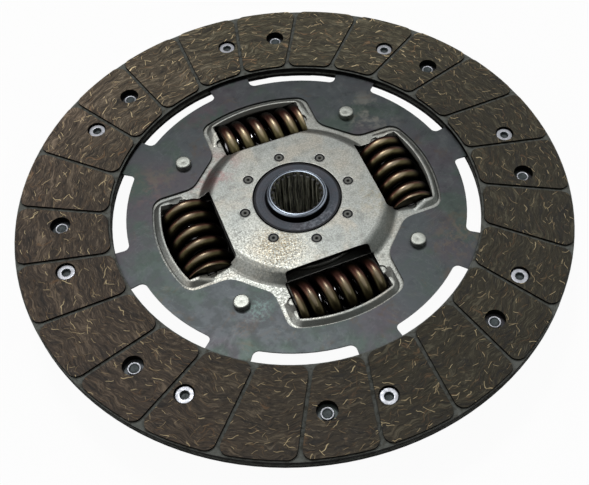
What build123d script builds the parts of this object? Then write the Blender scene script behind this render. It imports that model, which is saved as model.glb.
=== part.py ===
"""Clutch disc with a spring damper between its linings and its splined hub.

Millimetres. The bore axis is Z and the front face looks up. The origin is on the
axis, half way between the two friction faces. The spring windows lie on the X and
Y axes, and the stop pins half way between them.
"""
import os
from math import asin, cos, degrees, hypot, pi, radians, sin, tan

from build123d import *

# ---- linings -------------------------------------------------------------
facing_outer_radius = 120.0
facing_inner_radius = 80.4
facing_thickness = 2.7
facing_spread = 1.6  # free space between the two facings
groove_depth = 1.0
groove_width = 1.7
pad_rim = 0.6  # backing left bare outside the pads
pad_bore_rim = 0.8  # backing left bare inside the pads
pad_corner_radius = 3.8
pad_count = 24
groove_heading = 1.4  # direction of the first groove, degrees
groove_miss = 16.0  # how far each groove's line passes from the axis

# ---- carrier plate -------------------------------------------------------
carrier_thickness = 0.9
petal_count = 8
petal_angle = 3.5  # middle of the first petal and of its neck, degrees
petal_span = 43.2
petal_inner_radius = 82.0
petal_outer_radius = 118.0
petal_corner_radius = 4.0
petal_wave_flat = 6.0
neck_width_angle = 13.8
slot_inner_radius = 74.0
slot_corner_radius = 2.6
carrier_opening_radius = 63.0
carrier_lobe_half_width = 25.7
carrier_tongue_radius = 46.2
carrier_lobe_corner = 6.0
carrier_tongue_corner = 8.0

# ---- facing rivets -------------------------------------------------------
rivet_circle_radius = 101.0
front_rivet_angle = -1.1
rear_rivet_angle = -14.8
rivet_head_radius = 3.6
rivet_head_thickness = 0.8
rivet_head_recess = 1.0
rivet_shank_radius = 2.05
rivet_bore_radius = 1.55
rivet_tail_radius = 2.65
rivet_tail_height = 1.0
rivet_tail_chamfer = 0.33
rivet_counterbore_radius = 4.1
rivet_clearance_radius = 4.25
rivet_hole_clearance = 0.05

# ---- side plates ---------------------------------------------------------
plate_thickness = 2.0
plate_spacing = 10.1  # between the inner faces of the two side plates
front_dome_height = 5.25
rear_dome_height = 3.95
dome_edge_radius = 37.8  # where the flat top would meet the flank, at mid sheet
dome_slope = 47.0  # degrees from flat
dome_bend_radius = 3.0
front_plate_bore_radius = 19.4
rear_plate_bore_radius = 19.0
lip_height = 1.8
lip_foot_run = 2.1  # the lip leans outward by this much from crest to foot
lip_end_run = 6.0  # the lip's two ends come down to the plate over this length
lip_end_round = 2.0
lip_crest_width = 0.9
lip_crest_round = 0.6
lip_inner_reach = 45.5
lip_half_width = 23.9
lip_corner_radius = 5.5

# ---- damper springs and their windows ------------------------------------
spring_circle_radius = 46.5
spring_half_length = 19.5
outer_coil_radius = 12.2
outer_wire_radius = 2.65
outer_coil_turns = 6.0
outer_closed_turns = 0.9
inner_coil_radius = 6.5
inner_wire_radius = 1.4
inner_coil_turns = 7.0
inner_closed_turns = 0.9
coil_ramp_turns = 0.3
coil_start_turn = -0.25  # the wire starts this far round from the bottom of the coil
coil_end_gap = 0.3  # between the wires of the closed end turns
coil_tip_overrun = 0.2  # share of the wire radius that the tip's centre is past the ground face
runs_per_turn = 16  # straight runs of wire in one turn
spring_turned_round = (False, True, False, False)  # fitted the other way round
spring_count = len(spring_turned_round)
spring_end_clearance = 0.3
spring_side_clearance = 0.3
window_inner_reach = 34.2
window_outer_radius = 59.2
window_end_slant = 5.0
window_inner_corner_radius = 1.2
window_outer_corner_radius = 3.0
window_notch_radius = 2.2
window_notch_reach = 45.8
window_notch_depth = 0.6

# ---- rear plate's spring pockets and the tabs behind the springs -----------
pocket_slot_half_width = 5.0
pocket_end_round = 1.4
tab_half_angle = 26.0
tab_clearance = 0.3  # between a tab and the front plate
tab_spring_clearance = 1.05  # between a tab and the corners of its spring
tab_flange_clearance = 2.0  # between the tabs and the flange

# ---- hub and flange ------------------------------------------------------
hub_front_height = 7.8
hub_rear_depth = 22.5
nose_radius = 13.0
nose_length = 4.6
front_journal_radius = 13.6
flange_seat_radius = 17.5
flange_shoulder_radius = 19.5
flange_shoulder_thickness = 1.9
rear_journal_radius = 15.0
rear_nose_radius = 14.3
rear_nose_length = 3.0
hub_chamfer = 0.5
flange_thickness = 6.0
flange_window_inner_reach = 33.9
notch_inner_radius = 50.8
notch_corner_radius = 1.5
spline_count = 23
spline_root_radius = 11.3
spline_tip_radius = 10.0
spline_tip_share = 0.4  # tooth tip width as a share of the pitch
spline_root_share = 0.54
spline_setback = 1.3  # teeth end this far inside each hub face
spline_angle = 90.0  # one tooth points along +Y

# ---- stop pins -----------------------------------------------------------
pin_circle_radius = 55.8
pin_shoulder_radius = 4.5
pin_end_radius = 3.35
pin_front_stand = 2.75
pin_rear_stand = 2.2
pin_end_chamfer = 0.35
twist_limit = 8.0  # hub twist each way, degrees
stop_clearance = 0.3

# ---- bushes, washers and disc springs ------------------------------------
running_clearance = 0.08
seat_clearance = 0.05
axial_clearance = 0.3
bush_nose_radius = 18.7
bush_flange_radius = 28.0
bush_flange_thickness = 2.5
bush_face_inset = 0.1
bush_lead = 0.5
bush_collar_radius = 17.0
peg_count = 8
peg_circle_radius = 23.7
peg_angle = -1.0
peg_radius = 1.95
peg_hole_clearance = 0.3
peg_dimple_radius = 0.7
peg_dimple_depth = 0.8
rear_bush_collar_radius = 18.0
rear_bush_flange_radius = 22.5
rear_bush_flange_thickness = 1.5
rear_bush_stand = 0.3
washer_collar_clearance = 0.3
washer_inner_radius = 20.5
washer_outer_radius = 32.0
front_washer_thickness = 1.5
friction_ring_thickness = 1.5
support_washer_thickness = 1.2
disc_spring_thickness = 1.1
disc_spring_width = 7.3

# ---- heights worked out from the sizes above -----------------------------
friction_face_height = facing_spread / 2 + facing_thickness
wave_height = (facing_spread - carrier_thickness) / 2
plate_front_seat = -carrier_thickness / 2
front_plate_inner = plate_front_seat - plate_thickness
damper_middle = front_plate_inner - plate_spacing / 2
rear_plate_inner = damper_middle - plate_spacing / 2
rear_plate_outer = rear_plate_inner - plate_thickness
front_dome_top = plate_front_seat + front_dome_height
front_dome_under = front_dome_top - plate_thickness
rear_dome_bottom = rear_plate_outer - rear_dome_height
rear_dome_under = rear_dome_bottom + plate_thickness
flange_front = damper_middle + flange_thickness / 2
flange_rear = damper_middle - flange_thickness / 2
window_half_length = spring_half_length + spring_end_clearance
spring_corner_radius = hypot(window_half_length, spring_circle_radius + outer_coil_radius)
tab_inner_radius = spring_corner_radius + tab_spring_clearance
plate_outer_radius = tab_inner_radius + plate_thickness
flange_outer_radius = tab_inner_radius - tab_flange_clearance
window_step = 360 / spring_count
rivet_step = 360 / petal_count
pad_step = 360 / pad_count
pin_angles = [window_step * (index + 0.5) for index in range(spring_count)]
flip_angle = (front_rivet_angle + rear_rivet_angle) / 2
flip_axis = Axis((0, 0, 0), (cos(radians(flip_angle)), sin(radians(flip_angle)), 0))

os.makedirs("parts", exist_ok=True)


def save(part, name):
    """Label a finished piece and write it as one STEP file."""
    part.label = name
    export_step(part, f"parts/{name}.step")


def window_face():
    """Outline of one spring window on +Y: straight inside, an arc outside, slanted ends."""
    inner = window_inner_reach
    outer = window_outer_radius
    slant = tan(radians(window_end_slant))
    inner_half = window_half_length - (spring_circle_radius - inner) * slant
    reach = outer + window_outer_corner_radius
    outer_half = window_half_length + (reach - spring_circle_radius) * slant
    with BuildSketch(mode=Mode.PRIVATE) as window:
        with BuildLine():
            Polyline(
                (-inner_half, inner),
                (inner_half, inner),
                (outer_half, reach),
                (-outer_half, reach),
                close=True,
            )
        make_face()
        Circle(outer, mode=Mode.INTERSECT)
        corners = window.vertices().sort_by(Axis.Y)
        fillet(corners[:2], radius=window_inner_corner_radius)
        fillet(corners[2:], radius=window_outer_corner_radius)
    return window.sketch


def lip_face(inset, end_inset):
    """Outline of the raised lip round the outer half of one window, on +Y."""
    radius = window_outer_radius + lip_crest_width + lip_foot_run - inset
    half = lip_half_width - inset
    with BuildSketch(mode=Mode.PRIVATE) as lip:
        with BuildLine():
            Polyline(
                (-half, lip_inner_reach + end_inset),
                (half, lip_inner_reach + end_inset),
                (half, radius),
                (-half, radius),
                close=True,
            )
        make_face()
        Circle(radius, mode=Mode.INTERSECT)
        fillet(lip.vertices().sort_by(Axis.Y)[2:], radius=lip_corner_radius - inset)
    return lip.sketch


def turned_point(angle, along, aside):
    """Point given by its distance along a heading and its distance to the left of it."""
    turn = radians(angle)
    return (along * cos(turn) - aside * sin(turn), along * sin(turn) + aside * cos(turn))


# ---- facings: backing ring with raised pads between slanted grooves -------
near_side = groove_miss + groove_width / 2
far_side = groove_miss - groove_width / 2
pad_start = facing_inner_radius / 2
pad_stop = facing_outer_radius * 1.2
next_heading = groove_heading + pad_step

with BuildSketch() as pad_outline:
    with BuildLine():
        Polyline(
            turned_point(groove_heading, pad_start, near_side),
            turned_point(groove_heading, pad_stop, near_side),
            turned_point(next_heading, pad_stop, far_side),
            turned_point(next_heading, pad_start, far_side),
            close=True,
        )
    make_face()
    Circle(facing_outer_radius - pad_rim, mode=Mode.INTERSECT)
    Circle(facing_inner_radius + pad_bore_rim, mode=Mode.SUBTRACT)
    fillet(pad_outline.vertices(), radius=pad_corner_radius)

with BuildPart() as front_facing:
    with BuildSketch(Plane.XY.offset(facing_spread / 2)):
        Circle(facing_outer_radius)
        Circle(facing_inner_radius, mode=Mode.SUBTRACT)
    extrude(amount=facing_thickness - groove_depth)
    with BuildSketch(Plane.XY.offset(friction_face_height - groove_depth)):
        with PolarLocations(0, pad_count):
            add(pad_outline.sketch)
    extrude(amount=groove_depth)
    with Locations((0, 0, friction_face_height)):
        with PolarLocations(rivet_circle_radius, petal_count, start_angle=front_rivet_angle):
            CounterBoreHole(
                radius=rivet_shank_radius + rivet_hole_clearance,
                counter_bore_radius=rivet_counterbore_radius,
                counter_bore_depth=rivet_head_recess + rivet_head_thickness,
                depth=facing_thickness,
            )
        with PolarLocations(rivet_circle_radius, petal_count, start_angle=rear_rivet_angle):
            Hole(radius=rivet_clearance_radius, depth=facing_thickness)
save(front_facing.part, "front_facing")

with BuildPart() as rear_facing:
    add(front_facing.part.rotate(flip_axis, 180))
save(rear_facing.part, "rear_facing")

# ---- carrier plate: lobed centre, necks between slots, wavy petals --------
front_rivet_aside = rivet_circle_radius * sin(radians(petal_angle - front_rivet_angle))
rear_rivet_aside = rivet_circle_radius * sin(radians(petal_angle - rear_rivet_angle))
wave_step = rear_rivet_aside - front_rivet_aside
wave_line = []
for crest in range(-2, 3):
    crest_aside = front_rivet_aside + crest * wave_step
    crest_height = wave_height if crest % 2 == 0 else -wave_height
    wave_line += [
        (crest_aside - petal_wave_flat, crest_height - carrier_thickness / 2),
        (crest_aside + petal_wave_flat, crest_height - carrier_thickness / 2),
    ]
wave_top = [(aside, height + carrier_thickness) for aside, height in reversed(wave_line)]

with BuildPart() as petal:
    with BuildSketch(Plane.XZ.offset(-petal_outer_radius)):
        with BuildLine():
            Polyline(*wave_line, *wave_top, close=True)
        make_face()
    extrude(amount=petal_outer_radius)
    with BuildSketch(Plane.XY.offset(-facing_spread)) as petal_outline:
        with BuildLine():
            Polyline(
                (0, 0),
                turned_point(90 - petal_span / 2, 2 * petal_outer_radius, 0),
                turned_point(90 + petal_span / 2, 2 * petal_outer_radius, 0),
                close=True,
            )
        make_face()
        Circle(petal_outer_radius, mode=Mode.INTERSECT)
        Circle(petal_inner_radius, mode=Mode.SUBTRACT)
        fillet(petal_outline.vertices(), radius=petal_corner_radius)
    extrude(amount=2 * facing_spread, mode=Mode.INTERSECT)

with BuildSketch() as carrier_opening:
    Rectangle(2 * carrier_lobe_half_width, 2 * facing_outer_radius)
    Rectangle(2 * facing_outer_radius, 2 * carrier_lobe_half_width)
    Rectangle(2 * carrier_tongue_radius, 2 * carrier_tongue_radius, rotation=window_step / 2)
    Circle(carrier_opening_radius, mode=Mode.INTERSECT)
    lobe_corners = carrier_opening.vertices().sort_by_distance((0, 0))
    fillet(lobe_corners[-2 * spring_count:], radius=carrier_lobe_corner)
    tongue_corners = carrier_opening.vertices().sort_by_distance((0, 0))
    fillet(tongue_corners[: 2 * spring_count], radius=carrier_tongue_corner)

slot_half_angle = (rivet_step - neck_width_angle) / 2
neck_end_radius = petal_inner_radius + petal_corner_radius
with BuildSketch() as carrier_slot:
    with BuildLine():
        Polyline(
            (0, 0),
            turned_point(-slot_half_angle, 2 * neck_end_radius, 0),
            turned_point(slot_half_angle, 2 * neck_end_radius, 0),
            close=True,
        )
    make_face()
    Circle(neck_end_radius + slot_corner_radius, mode=Mode.INTERSECT)
    Circle(slot_inner_radius, mode=Mode.SUBTRACT)
    fillet(carrier_slot.vertices().sort_by_distance((0, 0))[:2], radius=slot_corner_radius)

with BuildPart() as lining_carrier:
    with BuildSketch(Plane.XY.offset(-carrier_thickness / 2)):
        Circle(neck_end_radius)
        add(carrier_opening.sketch, mode=Mode.SUBTRACT)
        with PolarLocations(0, petal_count, start_angle=petal_angle + rivet_step / 2):
            add(carrier_slot.sketch, mode=Mode.SUBTRACT)
        with PolarLocations(pin_circle_radius, spring_count, start_angle=pin_angles[0]):
            Circle(pin_end_radius + seat_clearance, mode=Mode.SUBTRACT)
    extrude(amount=carrier_thickness)
    with PolarLocations(0, petal_count, start_angle=petal_angle - 90):
        add(petal.part)
    for rivet_angle in (front_rivet_angle, rear_rivet_angle):
        with PolarLocations(rivet_circle_radius, petal_count, start_angle=rivet_angle):
            Hole(radius=rivet_shank_radius + rivet_hole_clearance, depth=facing_spread)
save(lining_carrier.part, "lining_carrier")

# ---- tubular rivets: flat head in the facing, rolled tail behind the petal -
head_top = friction_face_height - rivet_head_recess
head_under = head_top - rivet_head_thickness
tail_top = wave_height - carrier_thickness / 2
tail_end = tail_top - rivet_tail_height
with BuildPart() as rivet:
    with BuildSketch(Plane.XZ) as rivet_section:
        with BuildLine():
            Polyline(
                (rivet_bore_radius, head_top),
                (rivet_head_radius, head_top),
                (rivet_head_radius, head_under),
                (rivet_shank_radius, head_under),
                (rivet_shank_radius, tail_top),
                (rivet_tail_radius, tail_top),
                (rivet_tail_radius, tail_end),
                (rivet_bore_radius, tail_end),
                close=True,
            )
        make_face()
        rolled = rivet_section.vertices().group_by(Axis.Y)[0]
        chamfer(rolled, length=rivet_tail_chamfer)
    revolve(axis=Axis.Z)

with BuildPart() as front_facing_rivets:
    with PolarLocations(rivet_circle_radius, petal_count, start_angle=front_rivet_angle):
        add(rivet.part)
save(front_facing_rivets.part, "front_facing_rivets")

with BuildPart() as rear_facing_rivets:
    add(front_facing_rivets.part.rotate(flip_axis, 180))
save(rear_facing_rivets.part, "rear_facing_rivets")


# ---- side plates: pressed dome, spring windows and the lips round them ----
dome_foot_run = 1 / tan(radians(dome_slope))


def dished_section(bore_radius, dome_middle, seat_middle):
    """Section of a dished sheet, given by the heights of its middle surface."""
    foot_radius = dome_edge_radius + abs(dome_middle - seat_middle) * dome_foot_run
    with BuildSketch(Plane.XZ, mode=Mode.PRIVATE) as section:
        with BuildLine():
            FilletPolyline(
                (bore_radius, dome_middle),
                (dome_edge_radius, dome_middle),
                (foot_radius, seat_middle),
                (plate_outer_radius, seat_middle),
                radius=dome_bend_radius,
            )
        trace(line_width=plate_thickness)
    return section.sketch


coil_room_radius = outer_coil_radius + spring_side_clearance
pocket_radius = coil_room_radius + plate_thickness
pocket_half_length = window_half_length + plate_thickness

with BuildPart() as coil_room:
    with BuildSketch(Plane.YZ.offset(-window_half_length)):
        with Locations((spring_circle_radius, damper_middle)):
            Circle(coil_room_radius)
    extrude(amount=2 * window_half_length)

with BuildPart() as lip:
    with BuildSketch():
        add(lip_face(0, 0))
    with BuildSketch(Plane.XY.offset(lip_height)):
        add(lip_face(lip_foot_run, lip_end_run))
    loft(ruled=True)
    end_edges = lip.edges().filter_by(lambda edge: edge.bounding_box().size.Z > lip_height / 2)
    fillet(end_edges.sort_by(Axis.Y)[:2], radius=lip_end_round)
    fillet(lip.edges().group_by(Axis.Z)[-1], radius=lip_crest_round)

with BuildPart() as front_side_plate:
    with BuildSketch(Plane.XZ):
        add(dished_section(
            front_plate_bore_radius,
            front_dome_top - plate_thickness / 2,
            plate_front_seat - plate_thickness / 2,
        ))
    revolve(axis=Axis.Z)
    for turn in range(spring_count):
        with Locations(Location((0, 0, plate_front_seat), (0, 0, turn * window_step))):
            add(lip.part)
        with Locations(Location((0, 0, 0), (0, 0, turn * window_step))):
            add(coil_room.part, mode=Mode.SUBTRACT)
    with BuildSketch(Plane.XY.offset(front_plate_inner - plate_thickness)):
        with PolarLocations(0, spring_count):
            add(window_face())
        with PolarLocations(pin_circle_radius, spring_count, start_angle=pin_angles[0]):
            Circle(pin_end_radius + seat_clearance)
        with PolarLocations(peg_circle_radius, peg_count, start_angle=peg_angle):
            Circle(peg_radius + peg_hole_clearance)
    extrude(amount=front_dome_top - front_plate_inner + 2 * plate_thickness, mode=Mode.SUBTRACT)
    with BuildSketch(Plane.XY.offset(plate_front_seat - window_notch_depth)):
        with PolarLocations(0, spring_count):
            with Locations(
                (-window_half_length, window_notch_reach),
                (window_half_length, window_notch_reach),
            ):
                Circle(window_notch_radius)
    extrude(amount=window_notch_depth + lip_height, mode=Mode.SUBTRACT)
save(front_side_plate.part, "front_side_plate")

# The rear plate holds each spring in a half-round pocket, open along its bottom,
# and a tab stands up behind the spring at the plate's edge.
with BuildPart() as pocket:
    with BuildSketch(Plane.YZ.offset(-pocket_half_length)):
        with Locations((spring_circle_radius, damper_middle)):
            Circle(pocket_radius)
        with Locations((dome_edge_radius, rear_plate_inner)):
            Rectangle(
                2 * pocket_radius,
                pocket_radius,
                align=(Align.MIN, Align.MAX),
                mode=Mode.INTERSECT,
            )
    extrude(amount=2 * pocket_half_length)
    fillet(pocket.edges().filter_by(GeomType.CIRCLE), radius=pocket_end_round)

with BuildPart() as tab_ring:
    with BuildSketch(Plane.XY.offset(rear_plate_outer)):
        Circle(plate_outer_radius)
        Circle(tab_inner_radius, mode=Mode.SUBTRACT)
    extrude(amount=front_plate_inner - tab_clearance - rear_plate_outer)

with BuildPart() as spring_tab:
    with BuildSketch(Plane.XY.offset(rear_plate_outer)):
        with BuildLine():
            Polyline(
                (0, 0),
                turned_point(90 - tab_half_angle, 2 * plate_outer_radius, 0),
                turned_point(90 + tab_half_angle, 2 * plate_outer_radius, 0),
                close=True,
            )
        make_face()
    extrude(amount=plate_spacing + 2 * plate_thickness)
    add(tab_ring.part, mode=Mode.INTERSECT)

with BuildPart() as rear_side_plate:
    with BuildSketch(Plane.XZ):
        add(dished_section(
            rear_plate_bore_radius,
            rear_dome_bottom + plate_thickness / 2,
            rear_plate_outer + plate_thickness / 2,
        ))
    revolve(axis=Axis.Z)
    for turn in range(spring_count):
        with Locations(Location((0, 0, 0), (0, 0, turn * window_step))):
            add(pocket.part)
            add(spring_tab.part)
            add(coil_room.part, mode=Mode.SUBTRACT)
    with BuildSketch(Plane.XY.offset(rear_plate_inner + plate_thickness)):
        with PolarLocations(spring_circle_radius, spring_count):
            Rectangle(2 * pocket_slot_half_width, 2 * window_half_length)
        with PolarLocations(pin_circle_radius, spring_count, start_angle=pin_angles[0]):
            Circle(pin_end_radius + seat_clearance)
    extrude(amount=-2 * pocket_radius, mode=Mode.SUBTRACT)
save(rear_side_plate.part, "rear_side_plate")

# ---- stop pins: a shoulder between the plates and a riveted end each side --
pin_front_end = carrier_thickness / 2 + pin_front_stand
pin_rear_end = rear_plate_outer - pin_rear_stand
for index, angle in enumerate(pin_angles):
    place = turned_point(angle, pin_circle_radius, 0)
    with BuildPart() as stop_pin:
        with BuildSketch(Plane.XY.offset(pin_rear_end)):
            with Locations(place):
                Circle(pin_end_radius)
        extrude(amount=pin_front_end - pin_rear_end)
        chamfer(stop_pin.edges().filter_by(GeomType.CIRCLE), length=pin_end_chamfer)
        with BuildSketch(Plane.XY.offset(rear_plate_inner)):
            with Locations(place):
                Circle(pin_shoulder_radius)
        extrude(amount=plate_spacing)
    save(stop_pin.part, f"stop_pin_{index + 1}")

# ---- hub: splined bore, front and rear journals, seat for the flange -------
shoulder_bottom = flange_rear - flange_shoulder_thickness
with BuildSketch() as spline_space:
    tooth_pitch = 2 * pi / spline_count
    tip_half = tooth_pitch * spline_tip_radius * spline_tip_share / 2
    root_half = tooth_pitch * spline_root_radius * spline_root_share / 2
    Circle(spline_root_radius)
    with BuildLine():
        Polyline(
            (spline_tip_radius, -tip_half),
            (spline_root_radius, -root_half),
            (spline_root_radius + root_half, -root_half),
            (spline_root_radius + root_half, root_half),
            (spline_root_radius, root_half),
            (spline_tip_radius, tip_half),
            close=True,
        )
    tooth = make_face(mode=Mode.PRIVATE)
    with PolarLocations(0, spline_count, start_angle=spline_angle):
        add(tooth, mode=Mode.SUBTRACT)

with BuildPart() as splined_hub:
    with BuildSketch(Plane.XZ) as hub_section:
        with BuildLine():
            Polyline(
                (0, -hub_rear_depth),
                (rear_nose_radius, -hub_rear_depth),
                (rear_nose_radius, rear_nose_length - hub_rear_depth),
                (rear_journal_radius, rear_nose_length - hub_rear_depth),
                (rear_journal_radius, shoulder_bottom),
                (flange_shoulder_radius, shoulder_bottom),
                (flange_shoulder_radius, flange_rear),
                (flange_seat_radius, flange_rear),
                (flange_seat_radius, flange_front),
                (front_journal_radius, flange_front),
                (front_journal_radius, hub_front_height - nose_length),
                (nose_radius, hub_front_height - nose_length),
                (nose_radius, hub_front_height),
                (0, hub_front_height),
                close=True,
            )
        make_face()
        end_corners = hub_section.vertices().group_by(Axis.Y)
        for corners in (end_corners[0], end_corners[-1]):
            chamfer(corners.sort_by(Axis.X)[-1], length=hub_chamfer)
    revolve(axis=Axis.Z)
    with BuildSketch(Plane.XY.offset(-hub_rear_depth)):
        add(spline_space.sketch)
    extrude(amount=hub_front_height + hub_rear_depth, mode=Mode.SUBTRACT)
    for end in (-hub_rear_depth, hub_front_height - spline_setback):
        with BuildSketch(Plane.XY.offset(end)):
            Circle(spline_root_radius)
        extrude(amount=spline_setback, mode=Mode.SUBTRACT)
save(splined_hub.part, "splined_hub")

# ---- flange: four arms between the springs, each notched for its stop pin --
notch_half_angle = twist_limit + degrees(
    asin((pin_shoulder_radius + stop_clearance) / pin_circle_radius)
)
with BuildSketch() as pin_notch:
    with BuildLine():
        Polyline(
            (0, 0),
            turned_point(-notch_half_angle, 2 * flange_outer_radius, 0),
            turned_point(notch_half_angle, 2 * flange_outer_radius, 0),
            close=True,
        )
    make_face()
    Circle(notch_inner_radius, mode=Mode.SUBTRACT)
    fillet(pin_notch.vertices().sort_by_distance((0, 0))[:2], radius=notch_corner_radius)

with BuildPart() as hub_flange:
    with BuildSketch(Plane.XY.offset(flange_rear)):
        Circle(flange_outer_radius)
        Circle(flange_seat_radius, mode=Mode.SUBTRACT)
        with PolarLocations(flange_window_inner_reach, spring_count):
            Rectangle(
                flange_outer_radius,
                2 * window_half_length,
                align=(Align.MIN, Align.CENTER),
                mode=Mode.SUBTRACT,
            )
        with PolarLocations(0, spring_count, start_angle=pin_angles[0]):
            add(pin_notch.sketch, mode=Mode.SUBTRACT)
    extrude(amount=flange_thickness)
save(hub_flange.part, "hub_flange")


# ---- damper springs: closed, ground ends and an open middle ----------------
def coil_points(turns, closed_turns, wire_radius, mean_radius, hand):
    """Points along a coil lying along X beside the axis, closed at both ends."""
    steps = round(turns * runs_per_turn)
    turns_per_step = turns / steps
    run = 2 * (spring_half_length + wire_radius * coil_tip_overrun)
    closed_pitch = 2 * wire_radius + coil_end_gap
    open_turns = turns - 2 * closed_turns - coil_ramp_turns
    extra_pitch = (run - closed_pitch * turns) / open_turns
    place = -run / 2
    points = []
    for step in range(steps + 1):
        angle = hand * 2 * pi * (coil_start_turn + step * turns_per_step)
        points.append((
            place,
            spring_circle_radius + mean_radius * sin(angle),
            damper_middle - mean_radius * cos(angle),
        ))
        from_end = min(step + 0.5, steps - step - 0.5) * turns_per_step
        openness = min(max((from_end - closed_turns) / coil_ramp_turns, 0), 1)
        place += (closed_pitch + extra_pitch * openness) * turns_per_step
    return points


def coil_spring(turns, closed_turns, wire_radius, coil_radius, hand):
    """One ground coil spring in the window on +Y."""
    mean_radius = coil_radius - wire_radius
    points = coil_points(turns, closed_turns, wire_radius, mean_radius, hand)
    with BuildPart(mode=Mode.PRIVATE) as coil:
        with BuildLine() as centre_line:
            Polyline(*points)
        with BuildSketch(Plane(origin=centre_line.line @ 0, z_dir=centre_line.line % 0)):
            Circle(wire_radius)
        sweep(path=centre_line.wire(), transition=Transition.RIGHT)
        with Locations((0, spring_circle_radius, damper_middle)):
            Box(2 * spring_half_length, 4 * coil_radius, 4 * coil_radius, mode=Mode.INTERSECT)
    return coil.part


outer_coil = coil_spring(
    outer_coil_turns,
    outer_closed_turns,
    outer_wire_radius,
    outer_coil_radius,
    hand=1,
)
inner_coil = coil_spring(
    inner_coil_turns,
    inner_closed_turns,
    inner_wire_radius,
    inner_coil_radius,
    hand=-1,
)
spring_upright = Axis((0, spring_circle_radius, 0), (0, 0, 1))
for index, turned_round in enumerate(spring_turned_round):
    for coil, kind in ((outer_coil, "outer"), (inner_coil, "inner")):
        with BuildPart() as spring:
            with Locations(Location((0, 0, 0), (0, 0, index * window_step))):
                add(coil.rotate(spring_upright, 180) if turned_round else coil)
        save(spring.part, f"{kind}_spring_{index + 1}")

# ---- front bush: its pegs key it to the dome --------------------------------
bush_face = front_dome_top - bush_face_inset
bush_flange_top = front_dome_under - seat_clearance
bush_flange_under = bush_flange_top - bush_flange_thickness
bush_bore_radius = front_journal_radius + running_clearance
bush_bottom = flange_front + axial_clearance
with BuildPart() as centring_bush:
    with BuildSketch(Plane.XZ):
        with BuildLine():
            Polyline(
                (bush_bore_radius, bush_bottom),
                (bush_collar_radius, bush_bottom),
                (bush_collar_radius, bush_flange_under),
                (bush_flange_radius, bush_flange_under),
                (bush_flange_radius, bush_flange_top),
                (bush_nose_radius, bush_flange_top),
                (bush_nose_radius, bush_face),
                (bush_bore_radius + bush_lead, bush_face),
                (bush_bore_radius, bush_face - bush_lead),
                close=True,
            )
        make_face()
    revolve(axis=Axis.Z)
    with BuildSketch(Plane.XY.offset(bush_flange_under)):
        with PolarLocations(peg_circle_radius, peg_count, start_angle=peg_angle):
            Circle(peg_radius)
    extrude(amount=bush_face - bush_flange_under)
    with BuildSketch(Plane.XY.offset(bush_face)):
        with PolarLocations(peg_circle_radius, peg_count, start_angle=peg_angle):
            Circle(peg_dimple_radius)
    extrude(amount=-peg_dimple_depth, mode=Mode.SUBTRACT)
save(centring_bush.part, "centring_bush")

# ---- front friction pack: washer on the flange, disc spring behind it ------
front_washer_bottom = flange_front + axial_clearance
front_washer_top = front_washer_bottom + front_washer_thickness
front_washer_bore = bush_collar_radius + washer_collar_clearance
with BuildPart() as front_friction_washer:
    with BuildSketch(Plane.XY.offset(front_washer_bottom)):
        Circle(washer_outer_radius)
        Circle(front_washer_bore, mode=Mode.SUBTRACT)
    extrude(amount=front_washer_thickness)
save(front_friction_washer.part, "front_friction_washer")


def disc_spring_section(narrow_radius, narrow_height, wide_radius, wide_height):
    """Section of a coned washer between the heights that its two edges press on."""
    lean = disc_spring_thickness if narrow_height < wide_height else -disc_spring_thickness
    with BuildSketch(Plane.XZ, mode=Mode.PRIVATE) as section:
        with BuildLine():
            Polyline(
                (narrow_radius, narrow_height),
                (wide_radius, wide_height - lean),
                (wide_radius, wide_height),
                (narrow_radius, narrow_height + lean),
                close=True,
            )
        make_face()
    return section.sketch


disc_spring_outer_radius = washer_outer_radius - disc_spring_thickness
disc_spring_inner_radius = disc_spring_outer_radius - disc_spring_width
with BuildPart() as front_disc_spring:
    with BuildSketch(Plane.XZ):
        add(disc_spring_section(
            disc_spring_inner_radius,
            bush_flange_under - seat_clearance,
            disc_spring_outer_radius,
            front_washer_top + seat_clearance,
        ))
    revolve(axis=Axis.Z)
save(front_disc_spring.part, "front_disc_spring")

# ---- rear friction pack: ring, support washer, disc spring and rear bush ----
friction_ring_top = flange_rear - axial_clearance
friction_ring_bottom = friction_ring_top - friction_ring_thickness
with BuildPart() as rear_friction_ring:
    with BuildSketch(Plane.XY.offset(friction_ring_bottom)):
        Circle(washer_outer_radius)
        Circle(washer_inner_radius, mode=Mode.SUBTRACT)
    extrude(amount=friction_ring_thickness)
save(rear_friction_ring.part, "rear_friction_ring")

support_washer_top = friction_ring_bottom - seat_clearance
support_washer_bottom = support_washer_top - support_washer_thickness
with BuildPart() as rear_support_washer:
    with BuildSketch(Plane.XY.offset(support_washer_bottom)):
        Circle(washer_outer_radius)
        Circle(washer_inner_radius, mode=Mode.SUBTRACT)
    extrude(amount=support_washer_thickness)
save(rear_support_washer.part, "rear_support_washer")

with BuildPart() as rear_disc_spring:
    with BuildSketch(Plane.XZ):
        add(disc_spring_section(
            disc_spring_inner_radius,
            support_washer_bottom - seat_clearance,
            disc_spring_outer_radius,
            rear_dome_under + seat_clearance,
        ))
    revolve(axis=Axis.Z)
save(rear_disc_spring.part, "rear_disc_spring")

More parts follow.
